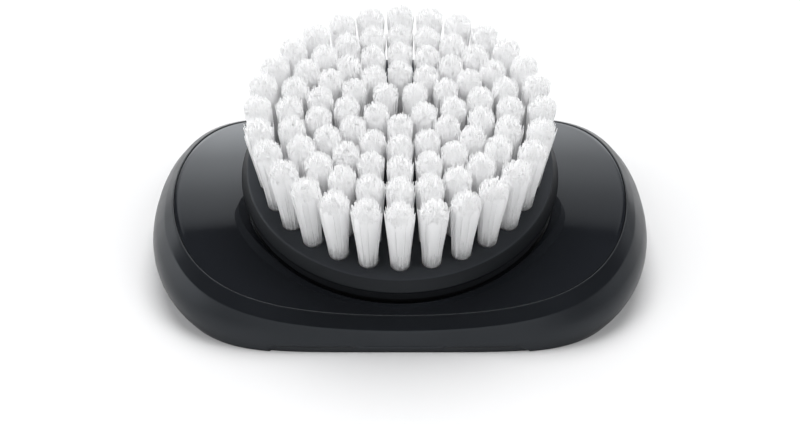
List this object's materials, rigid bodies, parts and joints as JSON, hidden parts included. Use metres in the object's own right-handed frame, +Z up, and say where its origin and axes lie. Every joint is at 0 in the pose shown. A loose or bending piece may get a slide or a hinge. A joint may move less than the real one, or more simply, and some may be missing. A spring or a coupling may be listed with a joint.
{
  "type": "facial cleansing brush",
  "caption": "Click-on facial cleansing brush: round tufted disc on an inclined oscillating drive, set in a saddle-topped oval housing with a coupling recess underneath.",
  "frame": {"origin": "middle of the footprint at the base plane", "axes": "+X along the housing's width, +Z up from the handle's side to the tufts, -Y towards the low side of the inclined disc"},
  "size_m": [0.055, 0.0426, 0.0223],
  "materials": {
    "shell": "satin charcoal",
    "cover": "high gloss black",
    "inner_plastic": "moulded",
    "steel": "stainless",
    "bush": "natural acetal",
    "seal": "nitrile",
    "screw_steel": "zinc plated",
    "drive_plastic": "natural acetal",
    "insert_brass": "turned",
    "carrier": "satin black",
    "plate": "satin black",
    "filament": "white nylon filaments",
    "anchor_wire": "flat wire"
  },
  "bodies": {
    "housing": {"housing_shell": "shell", "top_cover": "cover", "turret": "inner_plastic", "chassis": "inner_plastic", "slider_keeper_left": "steel", "slider_keeper_right": "steel", "upper_bush": "bush", "lower_bush": "bush", "shaft_seal": "seal", "chassis_screws": "screw_steel", "turret_screws": "screw_steel", "keeper_screws": "screw_steel"},
    "drive": {"drive_spindle": "steel", "drive_hub": "drive_plastic", "head_snap_ring": "steel", "drive_lever": "drive_plastic", "spindle_circlip": "steel", "thrust_washer": "bush"},
    "slider": {"drive_slider": "drive_plastic", "slider_post": "steel", "pin_socket_insert": "insert_brass"},
    "brush_head": {"brush_carrier": "carrier", "tuft_plate": "plate", "tufts_ring_1": "filament", "tufts_ring_2": "filament", "tufts_ring_3": "filament", "tufts_ring_4": "filament", "tufts_ring_5": "filament", "tuft_anchors": "anchor_wire"}
  },
  "joints": [
    {"name": "brush_swing", "type": "hinge", "parent": "housing", "child": "drive", "pos_m": [0, 0, 0.00973], "axis": [0, -0.2487, 0.9686], "range_deg": [-8, 8]},
    {"name": "slider_slide", "type": "slide", "parent": "housing", "child": "slider", "axis": [1, 0, 0], "range_m": [-0.00115, 0.00115]},
    {"name": "brush_head_pull_off", "type": "slide", "parent": "drive", "child": "brush_head", "axis": [0, -0.2487, 0.9686], "range_m": [0, 0.012]}
  ],
  "couplings": [
    {"joint": "slider_slide", "follows": "brush_swing", "m_per_rad": -0.007}
  ]
}
